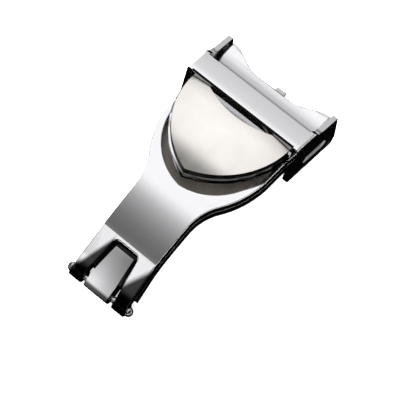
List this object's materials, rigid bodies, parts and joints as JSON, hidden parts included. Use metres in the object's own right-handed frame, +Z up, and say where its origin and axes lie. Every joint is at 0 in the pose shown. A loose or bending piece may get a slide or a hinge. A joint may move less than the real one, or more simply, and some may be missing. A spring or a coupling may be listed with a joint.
{
  "type": "deployant watch clasp",
  "caption": "Folding steel clasp for a leather watch strap, with two arched blades, a tilting head frame and a shield cover over a strap window.",
  "frame": {"origin": "centre of the footprint at the lowest point", "axes": "+Y along the clasp towards the head frame, +Z up away from the wrist, +X across the strap"},
  "size_m": [0.0196, 0.0396, 0.0109],
  "materials": {
    "blade_satin": "fine matte brushing",
    "blade_polish": "mirror polish",
    "frame_polish": "mirror polish",
    "base_polish": "mirror polish",
    "cap_satin": "fine satin brushing",
    "pin_steel": "turned and polished",
    "bar_steel": "turned",
    "spring_steel": "drawn wire",
    "peg_steel": "turned and polished"
  },
  "bodies": {
    "inner": {"inner_blade": "blade_satin", "hinge_pin": "pin_steel", "hinge_cap": "pin_steel", "bar_tube": "bar_steel", "bar_coil": "spring_steel"},
    "top": {"top_blade": "blade_polish", "frame_pins": "pin_steel"},
    "cover": {"head_frame": "frame_polish", "latch_studs": "pin_steel", "shield_base": "base_polish", "shield_cap": "cap_satin", "base_rivets": "pin_steel", "cap_posts": "pin_steel", "strap_peg": "peg_steel", "peg_collar": "peg_steel"},
    "tip_left": {"bar_tip_left": "bar_steel"},
    "tip_right": {"bar_tip_right": "bar_steel"}
  },
  "joints": [
    {"name": "clasp_fold", "type": "hinge", "parent": "inner", "child": "top", "pos_m": [0, -0.01859, 0.00105], "axis": [1, 0, 0], "range_deg": [0, 170]},
    {"name": "frame_lift", "type": "hinge", "parent": "top", "child": "cover", "pos_m": [0, 0.01748, 0.00152], "axis": [-1, 0, 0], "range_deg": [0, 75]},
    {"name": "tip_left_slide", "type": "slide", "parent": "inner", "child": "tip_left", "axis": [1, 0, 0], "range_m": [0, 0.0008], "stiffness_N_per_m": 400, "springref_m": -0.0006, "deforming": ["bar_coil"]},
    {"name": "tip_right_slide", "type": "slide", "parent": "inner", "child": "tip_right", "axis": [-1, 0, 0], "range_m": [0, 0.0008], "stiffness_N_per_m": 400, "springref_m": -0.0006, "deforming": ["bar_coil"]}
  ]
}
